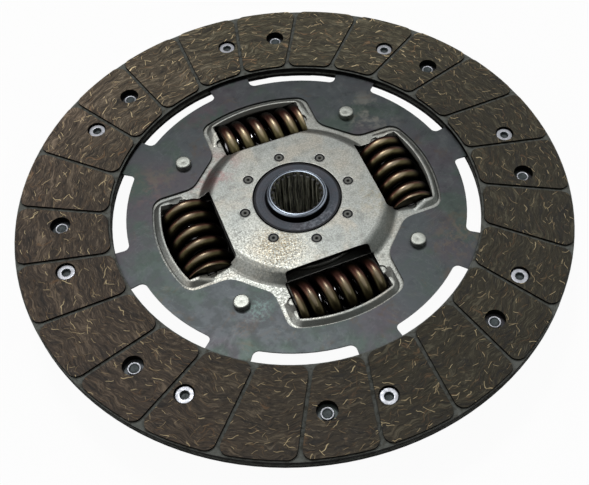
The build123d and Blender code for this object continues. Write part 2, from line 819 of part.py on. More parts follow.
rear_bush_bore = rear_journal_radius + running_clearance
rear_bush_seat = rear_dome_under + seat_clearance
with BuildPart() as rear_bush:
    with BuildSketch(Plane.XZ):
        with BuildLine():
            Polyline(
                (rear_bush_bore, rear_dome_bottom - rear_bush_stand),
                (bush_nose_radius, rear_dome_bottom - rear_bush_stand),
                (bush_nose_radius, rear_bush_seat),
                (rear_bush_flange_radius, rear_bush_seat),
                (rear_bush_flange_radius, rear_bush_seat + rear_bush_flange_thickness),
                (rear_bush_collar_radius, rear_bush_seat + rear_bush_flange_thickness),
                (rear_bush_collar_radius, shoulder_bottom - axial_clearance),
                (rear_bush_bore, shoulder_bottom - axial_clearance),
                close=True,
            )
        make_face()
    revolve(axis=Axis.Z)
save(rear_bush.part, "rear_bush")
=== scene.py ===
import math

import bmesh
import bpy
from mathutils import Matrix, Vector


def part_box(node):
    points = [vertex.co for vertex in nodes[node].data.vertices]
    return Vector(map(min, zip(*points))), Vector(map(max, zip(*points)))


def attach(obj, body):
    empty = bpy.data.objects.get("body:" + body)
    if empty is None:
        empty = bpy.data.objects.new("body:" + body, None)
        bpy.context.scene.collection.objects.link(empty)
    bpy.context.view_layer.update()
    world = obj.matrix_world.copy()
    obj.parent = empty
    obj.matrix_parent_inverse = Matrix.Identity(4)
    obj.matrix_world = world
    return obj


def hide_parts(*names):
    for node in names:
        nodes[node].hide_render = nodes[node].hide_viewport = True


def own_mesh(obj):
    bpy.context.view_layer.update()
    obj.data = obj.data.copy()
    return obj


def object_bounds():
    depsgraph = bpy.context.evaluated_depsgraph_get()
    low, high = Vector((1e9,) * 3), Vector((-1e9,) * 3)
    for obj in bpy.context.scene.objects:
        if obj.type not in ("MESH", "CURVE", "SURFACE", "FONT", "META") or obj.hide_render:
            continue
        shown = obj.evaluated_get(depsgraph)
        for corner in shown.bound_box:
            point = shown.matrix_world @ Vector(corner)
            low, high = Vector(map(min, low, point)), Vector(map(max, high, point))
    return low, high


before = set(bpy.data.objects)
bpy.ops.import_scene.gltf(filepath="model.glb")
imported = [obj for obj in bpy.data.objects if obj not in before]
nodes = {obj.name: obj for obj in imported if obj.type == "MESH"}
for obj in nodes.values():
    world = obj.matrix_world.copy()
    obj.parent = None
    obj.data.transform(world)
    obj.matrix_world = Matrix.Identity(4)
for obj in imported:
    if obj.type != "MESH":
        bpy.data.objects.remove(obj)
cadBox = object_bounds()
mm = 0.001
print("frame loaded,", len(nodes), "pieces")


# helpers for node trees

def tone(hexText):
    # sRGB hex to a linear colour
    parts = [int(hexText[i:i + 2], 16) / 255 for i in (1, 3, 5)]
    return [((p + 0.055) / 1.055) ** 2.4 if p > 0.04045 else p / 12.92 for p in parts] + [1]


def add(tree, kind, inputs=None, **settings):
    # one shader node: sockets among the inputs are linked, anything else is a plain value
    node = tree.nodes.new("ShaderNode" + kind)
    for key, value in settings.items():
        setattr(node, key, value)
    for key, value in (inputs or {}).items():
        if isinstance(value, bpy.types.NodeSocket):
            tree.links.new(value, node.inputs[key])
        else:
            node.inputs[key].default_value = value
    return node


def place(tree, group, inputs):
    return add(tree, "Group", inputs, node_tree=group).outputs


def calc(tree, operation, a, b=0.0, clamp=False):
    return add(tree, "Math", {0: a, 1: b}, operation=operation, use_clamp=clamp).outputs[0]


def times(tree, a, b):
    return calc(tree, "MULTIPLY", a, b)


def plus(tree, a, b, share):
    # a and a share of b
    return calc(tree, "ADD", a, times(tree, b, share))


def move(tree, operation, a, b=(0.0, 0.0, 0.0)):
    socket = "Scale" if operation == "SCALE" else 1
    node = add(tree, "VectorMath", {0: a, socket: b}, operation=operation)
    return node.outputs["Value"] if operation in ("LENGTH", "DOT_PRODUCT") else node.outputs[0]


def split(tree, vector):
    return add(tree, "SeparateXYZ", {0: vector}).outputs


def spun(tree, vector, angle):
    return add(tree, "VectorRotate", {"Vector": vector, "Angle": angle}, rotation_type="Z_AXIS").outputs[0]


def ramp(tree, value, low, high, outLow=0.0, outHigh=1.0, kind="SMOOTHSTEP"):
    inputs = {0: value, 1: low, 2: high, 3: outLow, 4: outHigh}
    return add(tree, "MapRange", inputs, interpolation_type=kind).outputs[0]


def mixed(tree, factor, a, b):
    return add(tree, "Mix", {0: factor, 6: a, 7: b}, data_type="RGBA").outputs[2]


def covered(tree, colour, shade, mask, full):
    # shade over colour by the mask, at most as strong as full
    return mixed(tree, times(tree, mask, full), colour, shade)


def laid(tree, colour, shade, value, low, high, full=1.0):
    # shade over colour, none of it where the value is at low and full where it is at high
    return mixed(tree, ramp(tree, value, low, high, 0.0, full), colour, shade)


def noise(tree, vector, scale, detail=3.0, roughness=0.5, distortion=0.0):
    inputs = {"Vector": vector, "Scale": scale, "Detail": detail, "Roughness": roughness}
    return add(tree, "TexNoise", {**inputs, "Distortion": distortion}).outputs[0]


def swayed(tree, vector, scale, detail, roughness, swing):
    # the same place pushed about by half of swing each way
    inputs = {"Vector": vector, "Scale": scale, "Detail": detail, "Roughness": roughness}
    flow = add(tree, "TexNoise", inputs).outputs[1]
    push = move(tree, "SUBTRACT", flow, (0.5, 0.5, 0.5))
    return move(tree, "ADD", vector, move(tree, "SCALE", push, swing))


def levelled(tree, vector):
    return move(tree, "MULTIPLY", vector, (1.0, 1.0, 0.0))


def fromAxis(tree, vector):
    # how far a place is from the Z axis
    return move(tree, "LENGTH", levelled(tree, vector))


def ringNoise(tree, radius, scale, roughness=0.7):
    # changes only outward, as the marks of a lathe do
    return noise(tree, add(tree, "CombineXYZ", {0: radius}).outputs[0], scale, 3.0, roughness)


def inMillimetres(tree):
    # object coordinates scaled so that texture sizes read in millimetres
    coordinates = add(tree, "TexCoord").outputs["Object"]
    return move(tree, "SCALE", coordinates, 1 / mm)


def objectNormal(tree):
    return add(tree, "TexCoord").outputs["Normal"]


def onWalls(tree, level, upright):
    # nothing on level faces and full on upright ones, between two heights of the unit normal
    return ramp(tree, calc(tree, "ABSOLUTE", split(tree, objectNormal(tree))[2]), level, upright)


def lookedAt(tree):
    # 1 for the rays that show a surface: straight from the camera, mirrored or let through
    rays = add(tree, "LightPath").outputs
    other = calc(tree, "MAXIMUM", rays["Is Glossy Ray"], rays["Is Transmission Ray"])
    return calc(tree, "MAXIMUM", rays["Is Camera Ray"], other)


def newGroup(name, values, outputs):
    # each group takes a place in millimetres, then values and colours with these defaults
    group = bpy.data.node_groups.new(name, "ShaderNodeTree")
    group.interface.new_socket("Vector", in_out="INPUT", socket_type="NodeSocketVector")
    for label, value in values.items():
        kind = "NodeSocketFloat" if isinstance(value, float) else "NodeSocketColor"
        group.interface.new_socket(label, in_out="INPUT", socket_type=kind).default_value = value
    for label, kind in outputs.items():
        group.interface.new_socket(label, in_out="OUTPUT", socket_type="NodeSocket" + kind)
    start = group.nodes.new("NodeGroupInput")
    end = group.nodes.new("NodeGroupOutput")
    return group, start.outputs, end.inputs


def newMaterial(name, values):
    # plain values go straight onto the shader's own sockets
    material = bpy.data.materials.new(name)
    material.use_nodes = True
    tree = material.node_tree
    shader = tree.nodes["Principled BSDF"]
    for key, value in values.items():
        shader.inputs[key].default_value = value
    return material, tree, shader


def finishWith(tree, shader, links, height, strength, depth, normal=None):
    # the links, and a bump whose depth is in millimetres
    for key, socket in links.items():
        tree.links.new(socket, shader.inputs[key])
    bump = add(tree, "Bump", {"Height": height, "Strength": strength, "Distance": depth * mm})
    if normal is not None:
        tree.links.new(normal, bump.inputs["Normal"])
    tree.links.new(bump.outputs[0], shader.inputs["Normal"])


# surface effects that several materials share

def buildFibreGroup():
    # one short, slightly bent strand in each cell, lying more or less along the winding
    values = {
        "Cell": 6.0, "Length": 5.0, "Width": 0.4, "Curl": 0.8, "Share": 0.7, "Spread": 2.0, "Shift": 0.0,
    }
    group, given, out = newGroup("curlyFibres", values, {"Mask": "Float", "Tone": "Float"})
    aside = times(group, given["Shift"], 0.618)
    shift = add(group, "CombineXYZ", {0: given["Shift"], 1: aside}).outputs[0]
    moved = swayed(group, move(group, "ADD", given["Vector"], shift), 0.25, 1.0, 0.5, 2.6)
    cell = add(group, "CombineXYZ", {0: given["Cell"], 1: given["Cell"], 2: given["Cell"]}).outputs[0]
    cells = move(group, "DIVIDE", moved, cell)
    inputs = {"Vector": cells, "Scale": 1.0, "Randomness": 1.0}
    voronoi = add(group, "TexVoronoi", inputs, voronoi_dimensions="2D").outputs
    picks = add(group, "SeparateColor", {0: voronoi["Color"]}).outputs  # three random numbers for each cell
    # every strand is laid across the radius at its own middle, give or take the spread
    centre = move(group, "SUBTRACT", move(group, "MULTIPLY", voronoi["Position"], cell), shift)
    spot = split(group, centre)
    tangent = calc(group, "ADD", calc(group, "ARCTAN2", spot[1], spot[0]), math.pi / 2)
    lean = times(group, calc(group, "SUBTRACT", picks[0], 0.5), given["Spread"])
    turn = times(group, calc(group, "ADD", tangent, lean), -1.0)
    parts = split(group, spun(group, move(group, "SUBTRACT", cells, voronoi["Position"]), turn))
    along = times(group, parts[0], given["Cell"])
    across = times(group, parts[1], given["Cell"])
    bend = times(group, calc(group, "SUBTRACT", picks[1], 0.5), given["Curl"])
    arc = times(group, times(group, along, along), bend)
    wave = times(group, calc(group, "SINE", times(group, along, 1.6)), 0.12)
    off = calc(group, "ABSOLUTE", calc(group, "SUBTRACT", calc(group, "SUBTRACT", across, arc), wave))
    thin = ramp(group, off, given["Width"], times(group, given["Width"], 0.35))
    share = ramp(group, picks[2], 0, 1, 0.45, 1.0, "LINEAR")
    half = times(group, times(group, given["Length"], 0.5), share)
    ends = ramp(group, calc(group, "ABSOLUTE", along), half, calc(group, "SUBTRACT", half, 0.5))
    shown = calc(group, "LESS_THAN", picks[2], given["Share"])
    group.links.new(times(group, times(group, thin, ends), shown), out["Mask"])
    group.links.new(picks[1], out["Tone"])
    return group


def buildWearAndHighlightGroup():
    # lines along edges, broken up by noise, and the rounded normal they come from; they stand for wear and,
    # on the plates, partly for a painted highlight
    values = {"Radius": 0.0004, "Break": 0.5}
    group, given, out = newGroup("edgeWearAndHighlight", values, {"Edge": "Float", "Normal": "Vector"})
    softened = add(group, "Bevel", {"Radius": given["Radius"]}, samples=6).outputs[0]
    flat = add(group, "NewGeometry").outputs["Normal"]
    turn = calc(group, "SUBTRACT", 1.0, move(group, "DOT_PRODUCT", softened, flat))
    spread = ramp(group, turn, 0.004, 0.12)
    rough = noise(group, given["Vector"], 0.9, 4.0, 0.6)
    low, high = calc(group, "SUBTRACT", given["Break"], 0.18), calc(group, "ADD", given["Break"], 0.12)
    group.links.new(times(group, spread, ramp(group, rough, low, high)), out["Edge"])
    group.links.new(softened, out["Normal"])
    return group


def buildCornerShadeGroup():
    # painted shade: darkening gathered in corners and seams, found by ambient occlusion and broken up by
    # noise
    group, given, out = newGroup("seamCornerShade", {"Reach": 0.002, "Amount": 0.8}, {"CornerShade": "Float"})
    shade = add(group, "AmbientOcclusion", {"Distance": given["Reach"]}, samples=8, only_local=False)
    closed = ramp(group, shade.outputs["AO"], 0.95, 0.25)
    patchy = ramp(group, noise(group, given["Vector"], 0.25, 3.0), 0.25, 0.65, 0.6, 1.0)
    paintedShade = calc(group, "MULTIPLY", times(group, closed, patchy), given["Amount"], clamp=True)
    group.links.new(paintedShade, out["CornerShade"])
    return group


def buildMottleGroup():
    # three drifting colours, as on heated or stained steel
    values = {"Scale": 0.03, "First": tone("#5a5e63"), "Second": tone("#5f565a"), "Third": tone("#56605c")}
    group, given, out = newGroup("driftingTint", values, {"Color": "Color", "Cloud": "Float"})
    vector, scale = given["Vector"], given["Scale"]
    broad = noise(group, vector, scale, 3.0, 0.55, 0.6)
    lifted = move(group, "ADD", vector, (311.0, 97.0, 0.0))
    other = noise(group, lifted, times(group, scale, 1.7), 4.0, 0.6, 0.4)
    blend = laid(group, given["First"], given["Second"], broad, 0.4, 0.62)
    blend = laid(group, blend, given["Third"], other, 0.48, 0.66)
    group.links.new(blend, out["Color"])
    group.links.new(noise(group, vector, times(group, scale, 6.0), 5.0, 0.65), out["Cloud"])
    return group


def buildGrainGroup():
    # the fine tooth of pressed or blasted metal, with a few longer scratches
    outputs = {"Height": "Float", "Speck": "Float", "Scratches": "Float"}
    group, given, out = newGroup("fineGrain", {"Grain": 3.0, "Scratch": 0.4}, outputs)
    vector, grain = given["Vector"], given["Grain"]
    tooth = noise(group, vector, grain, 4.0, 0.7)
    coarse = noise(group, vector, times(group, grain, 0.3), 3.0, 0.6)
    drawn = move(group, "MULTIPLY", spun(group, vector, 0.7), (0.06, 2.2, 1.0))
    crossed = move(group, "MULTIPLY", spun(group, vector, -0.5), (0.09, 3.0, 1.0))
    lines = ramp(group, noise(group, drawn, 1.0, 3.0, 0.65, 0.3), 0.66, 0.74)
    otherLines = ramp(group, noise(group, crossed, 1.0, 2.0, 0.6, 0.2), 0.68, 0.76)
    scratches = calc(group, "MAXIMUM", lines, otherLines)
    height = plus(group, times(group, tooth, 0.6), coarse, 0.4)
    height = calc(group, "SUBTRACT", height, times(group, scratches, given["Scratch"]))
    group.links.new(height, out["Height"])
    group.links.new(ramp(group, tooth, 0.32, 0.68), out["Speck"])
    group.links.new(scratches, out["Scratches"])
    return group


fibreGroup = buildFibreGroup()
wearAndHighlightGroup = buildWearAndHighlightGroup()
paintedShadeGroup = buildCornerShadeGroup()
mottleGroup = buildMottleGroup()
grainGroup = buildGrainGroup()
print("surface effects built")


def shadedInCorners(tree, vector, colour, shadeTone, reach, amount):
    # painted shade in the corners; the reach is in metres
    paintedShade = place(tree, paintedShadeGroup, {"Vector": vector, "Reach": reach, "Amount": amount})
    return mixed(tree, paintedShade["CornerShade"], colour, shadeTone)


def patchedOver(tree, vector, colour, patches):
    # patches of another colour round a few spots, ragged at their borders
    for shade, middle, reach, full, scale in patches:
        away = move(tree, "LENGTH", move(tree, "SUBTRACT", vector, middle))
        near = ramp(tree, away, reach, reach * 0.2, 0.0, full)
        patch = ramp(tree, noise(tree, vector, scale, 4.0, 0.7), 0.46, 0.6)
        colour = mixed(tree, times(tree, near, patch), colour, shade)
    return colour


lining = {
    "dark": tone("#0c0b09"), "brown": tone("#4a4037"), "olive": tone("#383428"), "tan": tone("#8c7c6a"),
    "grey": tone("#736e5c"), "fibre": tone("#e6d2a6"), "rust": tone("#83664a"), "floor": tone("#686b66"),
    # the wall tone is painted shade for the groove walls and the seams
    "paintedWallShade": tone("#0d0d0c"), "pore": tone("#16130f"), "roughness": 0.62, "shine": 0.3, "wallShine": 0.03,
    "circle": 100.0, "stretch": 0.17, "strands": 5, "cell": 4.6, "cellStep": 1.3, "floorHeight": 2.5,
    "sides": (-70.0, 70.0), "brightening": (10.0, 110.0, 1.0, 2.05), "seamReach": 0.0013,
}


def windingVector(tree, vector, swing):
    # texture space stretched along the winding: round the axis it runs slowly, outward at full rate
    level = levelled(tree, swayed(tree, vector, 0.055, 2.5, 0.55, swing))
    outward = add(tree, "CombineXYZ", {2: move(tree, "LENGTH", level)}).outputs[0]
    around = move(tree, "SCALE", move(tree, "NORMALIZE", level), lining["circle"] * lining["stretch"])
    return move(tree, "ADD", around, outward)


def liningMaterial():
    # wound friction lining: resin streaks along the winding, with short bright strands in them
    values = {"Roughness": lining["roughness"], "Specular IOR Level": lining["shine"]}
    material, tree, shader = newMaterial("frictionLining", values)
    vector = inMillimetres(tree)
    parts = split(tree, vector)
    wound = windingVector(tree, vector, 15.0)
    looser = windingVector(tree, vector, 34.0)
    streaks = noise(tree, wound, 0.5, 5.0, 0.68, 0.2)
    threads = noise(tree, move(tree, "ADD", wound, (31.0, 7.0, 0.0)), 1.9, 4.0, 0.68, 0.1)
    amber = noise(tree, move(tree, "ADD", looser, (5.0, 71.0, 0.0)), 0.95, 3.0, 0.55, 0.2)
    # brown on one side of the ring, olive on the other
    region = noise(tree, vector, 0.012, 2.0, 0.5)
    side = ramp(tree, plus(tree, parts[0], region, 90.0), *lining["sides"])
    ground = mixed(tree, side, lining["brown"], lining["olive"])
    pale = mixed(tree, side, lining["tan"], lining["grey"])
    colour = laid(tree, ground, lining["dark"], streaks, 0.5, 0.34, 0.75)
    colour = laid(tree, colour, pale, streaks, 0.52, 0.68, 0.68)
    colour = laid(tree, colour, lining["dark"], threads, 0.48, 0.36, 0.72)
    colour = laid(tree, colour, pale, threads, 0.55, 0.68, 0.65)
    colour = laid(tree, colour, lining["rust"], amber, 0.6, 0.72, 0.5)
    height = plus(tree, times(tree, streaks, 1.4), threads, 0.7)
    height = plus(tree, height, noise(tree, vector, 2.2, 3.0, 0.7), 0.4)
    for index in range(lining["strands"]):
        # each layer has larger cells, with wider and straighter strands in fewer of them
        cell = lining["cell"] + lining["cellStep"] * index
        strand = place(tree, fibreGroup, {
            "Vector": vector, "Cell": cell, "Length": cell * 0.85, "Width": 0.15 + 0.02 * index,
            "Curl": 0.2 - 0.03 * index, "Share": 0.62 - 0.05 * index, "Spread": 2.2, "Shift": 37.0 * index,
        })
        shade = mixed(tree, strand["Tone"], lining["rust"], lining["fibre"])
        shown = times(tree, strand["Mask"], ramp(tree, strand["Tone"], 0.0, 1.0, 0.25, 0.95))
        colour = mixed(tree, shown, colour, shade)
        height = plus(tree, height, strand["Mask"], 0.4)
    pores = noise(tree, move(tree, "ADD", vector, (53.0, 11.0, 0.0)), 0.9, 4.0, 0.7)
    pores = ramp(tree, pores, 0.66, 0.74)
    colour = covered(tree, colour, lining["pore"], pores, 0.7)
    height = calc(tree, "SUBTRACT", height, times(tree, pores, 0.8))
    gain = plus(tree, ramp(tree, parts[1], *lining["brightening"]), side, -0.1)
    colour = move(tree, "SCALE", colour, gain)
    # dusty floors of the grooves, painted shade on their walls and in the seams
    floorHeight = lining["floorHeight"]
    low = ramp(tree, calc(tree, "ABSOLUTE", parts[2]), floorHeight + 0.3, floorHeight + 0.05)
    dusty = laid(tree, lining["floor"], lining["olive"], noise(tree, vector, 0.5, 4.0, 0.6), 0.42, 0.72, 0.8)
    colour = mixed(tree, low, colour, dusty)
    upright = onWalls(tree, 0.75, 0.35)
    colour = mixed(tree, upright, colour, lining["paintedWallShade"])
    colour = shadedInCorners(tree, vector, colour, lining["paintedWallShade"], reach=lining["seamReach"], amount=1.0)
    finishWith(tree, shader, {
        "Base Color": colour, "Roughness": ramp(tree, streaks, 0.3, 0.7, 0.55, 0.8),
        "Specular IOR Level": ramp(tree, upright, 0.0, 1.0, lining["shine"], lining["wallShine"]),
    }, height, strength=0.9, depth=0.45)
    return material


carrier = {
    "tint": {"Scale": 0.028, "First": tone("#424648"), "Second": tone("#444246"), "Third": tone("#3e4743")},
    # the grime tone is painted shade for the corners
    "stain": tone("#5b605f"), "dark": tone("#2c2f32"), "rust": tone("#4f4234"), "paintedShade": tone("#0c0c0d"),
    "metal": 0.9, "roughness": 0.5,
    "patches": [
        # colour, middle, reach, how full, grain of the patch
        (tone("#6f6e68"), (49.0, 36.0, -3.0), 21.0, 0.7, 0.07),
        (tone("#586a66"), (-34.0, -44.0, -3.0), 11.0, 0.6, 0.9),
        (tone("#57493c"), (-43.0, -50.0, -3.0), 7.0, 0.6, 1.1),
        (tone("#594b49"), (-58.0, 33.0, -3.0), 17.0, 0.55, 0.12),
        (tone("#5b564b"), (-52.0, 36.0, -3.0), 14.0, 0.4, 0.3),
        (tone("#4d4347"), (-25.0, 66.0, -3.0), 18.0, 0.55, 0.1),
        (tone("#5a5247"), (58.0, -44.0, -3.0), 20.0, 0.55, 0.3),
    ],
}


def carrierMaterial():
    # spring steel sheet, heat tinted, with pale water stains
    values = {"Metallic": carrier["metal"], "Roughness": carrier["roughness"]}
    material, tree, shader = newMaterial("tintedSheet", values)
    vector = inMillimetres(tree)
    tint = place(tree, mottleGroup, {"Vector": vector, **carrier["tint"]})
    colour = laid(tree, tint["Color"], carrier["stain"], tint["Cloud"], 0.5, 0.72, 0.34)
    colour = laid(tree, colour, carrier["dark"], tint["Cloud"], 0.48, 0.32, 0.36)
    # thin pale rims where water dried
    rim = calc(tree, "ABSOLUTE", calc(tree, "SUBTRACT", noise(tree, vector, 0.05, 5.0, 0.6, 1.6), 0.53))
    colour = laid(tree, colour, carrier["stain"], rim, 0.014, 0.0, 0.22)
    colour = patchedOver(tree, vector, colour, carrier["patches"])
    grain = place(tree, grainGroup, {"Vector": vector, "Grain": 1.6, "Scratch": 0.3})
    colour = covered(tree, colour, carrier["stain"], grain["Scratches"], 0.3)
    blotch = noise(tree, move(tree, "ADD", vector, (17.0, 61.0, 0.0)), 0.09, 5.0, 0.7, 0.8)
    colour = covered(tree, colour, carrier["rust"], ramp(tree, blotch, 0.56, 0.72), 0.4)
    specks = noise(tree, vector, 0.7, 5.0, 0.75)
    colour = covered(tree, colour, carrier["rust"], ramp(tree, specks, 0.64, 0.72), 0.35)
    # painted shade in the corners and along the seams
    colour = shadedInCorners(tree, vector, colour, carrier["paintedShade"], reach=0.0016, amount=0.8)
    links = {"Base Color": colour, "Roughness": ramp(tree, tint["Cloud"], 0.35, 0.7, 0.4, 0.52)}
    finishWith(tree, shader, links, grain["Height"], strength=0.12, depth=0.08)
    return material


plate = {
    "tint": {"Scale": 0.035, "First": tone("#a0a29c"), "Second": tone("#959995"), "Third": tone("#a19e94")},
    # the edge tone is rubbed wear and partly a painted highlight; the grime tone is painted shade
    "speck": tone("#5c5d5a"), "edge": tone("#dcdcd6"), "deep": tone("#2b2a28"), "paintedShade": tone("#0c0b0a"),
    # the lip tone is painted light on the walls under the lip crests, which are also less metallic
    "lip": tone("#a9aba5"), "metal": 0.85, "lipMetal": 0.2, "roughness": 0.42,
    "edgeWearAndHighlight": 0.75, "darkEdgeWearAndHighlight": 0.2,
    # the lee tone is painted shade on faces turned to the front; the wall and foot ranges say where the cut
    # walls get painted shade and light
    "paintedFlankShade": tone("#434944"), "paintedFlankShadeWay": (0.45, -0.89, 0.0), "paintedFlankShadeRange": (0.2, 0.55, 0.6),
    "domeWall": (50.0, 46.0), "lipWall": (55.0, 57.0), "lipFoot": (-1.9, -1.1),
    "patches": [
        # colour, middle, reach, how full, grain of the patch
        # painted highlight: the pale patch on the near part of the dome
        (tone("#d6d3c4"), (-17.0, -24.0, 4.0), 19.0, 0.6, 0.9),
        (tone("#7d6a45"), (-17.0, -21.0, 4.0), 15.0, 0.85, 1.7),
        (tone("#3b372c"), (-18.0, -23.0, 4.0), 16.0, 0.6, 1.25),
        (tone("#8a6462"), (-29.0, 30.0, 1.0), 18.0, 0.75, 0.08),
        (tone("#8a8064"), (31.0, -14.0, 4.0), 13.0, 0.35, 0.5),
        (tone("#4e4d48"), (33.0, 46.0, -2.0), 14.0, 0.6, 1.1),
    ],
}


def shadeWalls(tree, vector, colour):
    # painted shade and light: cut walls painted black round the dome, painted light just under the crest of
    # the lips, and faces turned to the front painted greyer as shade
    radius = fromAxis(tree, vector)
    upright = onWalls(tree, 0.5, 0.3)
    # painted shade on faces turned to the front
    paintedFlankShade = move(tree, "DOT_PRODUCT", objectNormal(tree), plate["paintedFlankShadeWay"])
    colour = laid(tree, colour, plate["paintedFlankShade"], paintedFlankShade, *plate["paintedFlankShadeRange"])
    inner = times(tree, upright, ramp(tree, radius, *plate["domeWall"]))
    outer = times(tree, upright, ramp(tree, radius, *plate["lipWall"]))
    outer = times(tree, outer, ramp(tree, split(tree, vector)[2], *plate["lipFoot"]))
    # painted shade on the walls round the dome, painted light on the lip walls
    colour = covered(tree, colour, plate["paintedShade"], inner, 0.95)
    colour = mixed(tree, outer, colour, plate["lip"])
    return colour, ramp(tree, outer, 0.0, 1.0, plate["metal"], plate["lipMetal"])


def plateMaterial(name, darker=0.0, hollows=0.0, walls=False):
    # pressed steel with a fine tooth, a few stains, pits and brighter edges, the edges partly a painted
    # highlight;
    # darker is a share of the deep tone, hollows how many metres the painted shade reaches, walls whether
    # the cut walls get painted shade and light
    values = {"Metallic": plate["metal"], "Roughness": plate["roughness"]}
    material, tree, shader = newMaterial(name, values)
    vector = inMillimetres(tree)
    tint = place(tree, mottleGroup, {"Vector": vector, **plate["tint"]})
    grain = place(tree, grainGroup, {"Vector": vector, "Grain": 1.5, "Scratch": 0.3})
    colour = covered(tree, tint["Color"], plate["speck"], grain["Speck"], 0.55)
    colour = laid(tree, colour, plate["speck"], tint["Cloud"], 0.5, 0.7, 0.5)
    colour = patchedOver(tree, vector, colour, plate["patches"])
    pits = noise(tree, vector, 0.8, 5.0, 0.75)
    colour = covered(tree, colour, plate["deep"], ramp(tree, pits, 0.65, 0.72), 0.6)
    if darker:
        colour = mixed(tree, darker, colour, plate["deep"])
    # rubbed edges, partly a painted highlight along the edges and crests
    wearAndHighlight = place(tree, wearAndHighlightGroup, {"Vector": vector, "Radius": 0.0006, "Break": 0.36})
    edgeShare = plate["darkEdgeWearAndHighlight"] if darker else plate["edgeWearAndHighlight"]
    colour = covered(tree, colour, plate["edge"], wearAndHighlight["Edge"], edgeShare)
    # painted shade in the creases
    creaseShade = add(tree, "AmbientOcclusion", {"Distance": 0.0011}, samples=8).outputs["AO"]
    colour = laid(tree, colour, plate["paintedShade"], creaseShade, 0.93, 0.6, 0.7)
    links = {"Roughness": ramp(tree, grain["Speck"], 0.0, 1.0, 0.32, 0.5)}
    # painted shade in the hollows, as far as the given reach
    if hollows:
        colour = shadedInCorners(tree, vector, colour, plate["paintedShade"], reach=hollows, amount=1.0)
    if walls:
        colour, links["Metallic"] = shadeWalls(tree, vector, colour)
    links["Base Color"] = colour
    finishWith(tree, shader, links, grain["Height"], strength=0.4, depth=0.12, normal=wearAndHighlight["Normal"])
    return material


# tones: a painted highlight on the crown, painted reflections on the near and far sides, and painted shade,
# which also darkens the specks
outerWire = {
    "paintedHighlight": tone("#7b7161"), "paintedHighlightPatch": tone("#877a62"), "near": tone("#4b4530"), "far": tone("#67443b"),
    "paintedShadeAndSpecks": tone("#060404"), "roughness": 0.34, "seamReach": 0.0042,
    "paintedHighlightWay": (-0.08, -0.24, 0.967), "paintedHighlightRange": (0.9, 1.0), "leanRange": (-0.4, 0.15),
}
innerWire = {
    "paintedHighlight": tone("#a9a8aa"), "paintedHighlightPatch": tone("#c4c3c6"), "near": tone("#2c2a29"), "far": tone("#302c2b"),
    "paintedShadeAndSpecks": tone("#030303"), "roughness": 0.18, "seamReach": 0.002,
    "paintedHighlightWay": (-0.08, -0.24, 0.967), "paintedHighlightRange": (0.84, 1.0), "leanRange": (-0.3, 0.35),
}
# the steep range bounds the painted reddish reflection; along the gain way the springs get more painted
# light towards the back
bothWires = {"steepRange": (0.6, 0.22), "paintedLightWay": (0.4, 0.9, 0.0), "paintedLightRange": (-45.0, 45.0, 0.72, 1.25)}


def springMaterial(name, wire):
    # oil tempered: painted highlight on its crown, painted reddish reflection on the far side and olive on
    # the near one, painted light growing towards the back, painted shade on the sides and where shut in
    material, tree, shader = newMaterial(name, {"Metallic": 1.0, "Roughness": wire["roughness"]})
    vector = inMillimetres(tree)
    normal = objectNormal(tree)
    # painted reflections: reddish where the normal leans back, olive where it leans to the front
    lean = split(tree, normal)[1]
    leaning = ramp(tree, lean, *wire["leanRange"])
    paintedReddish = times(tree, leaning, ramp(tree, lean, *bothWires["steepRange"]))
    body = mixed(tree, paintedReddish, wire["near"], wire["far"])
    patchy = noise(tree, vector, 0.16, 3.0, 0.55)
    paintedHighlight = laid(tree, wire["paintedHighlight"], wire["paintedHighlightPatch"], patchy, 0.35, 0.65)
    # painted highlight where the normal turns to the key lamp's mirror direction
    highlightFacing = move(tree, "DOT_PRODUCT", normal, wire["paintedHighlightWay"])
    colour = laid(tree, body, paintedHighlight, highlightFacing, *wire["paintedHighlightRange"])
    # painted light: brighter towards the back
    along = move(tree, "DOT_PRODUCT", vector, bothWires["paintedLightWay"])
    colour = move(tree, "SCALE", colour, ramp(tree, along, *bothWires["paintedLightRange"]))
    # painted shade towards the sides of the wire
    away = add(tree, "LayerWeight", {"Blend": 0.5}).outputs["Facing"]
    colour = laid(tree, colour, wire["paintedShadeAndSpecks"], away, 0.16, 0.7, 0.85)
    specks = noise(tree, vector, 2.4, 3.0, 0.7)
    colour = covered(tree, colour, wire["paintedShadeAndSpecks"], ramp(tree, specks, 0.62, 0.74), 0.25)
    # painted shade in the corners and between the coils
    colour = shadedInCorners(tree, vector, colour, wire["paintedShadeAndSpecks"], reach=wire["seamReach"], amount=1.0)
    low, high = wire["roughness"] - 0.03, wire["roughness"] + 0.06
    links = {"Base Color": colour, "Roughness": ramp(tree, patchy, 0.3, 0.7, low, high)}
    finishWith(tree, shader, links, noise(tree, vector, 1.8, 4.0, 0.65), strength=0.05, depth=0.05)
    return material


# the dirt tones are painted shade for the corners
brightZinc = {
    "shade": tone("#bcbfc6"), "patch": tone("#a0a2a8"), "shadeTone": tone("#1c1c1e"),
    "roughness": 0.32, "metal": 0.5,
}
# painted shade: a darker copy of the zinc for the bore and the sides of the tail
shadedZinc = {
    "shade": tone("#3c4648"), "patch": tone("#2a3032"), "shadeTone": tone("#1c1c1e"),
    "roughness": 0.5, "metal": 0.2,
}


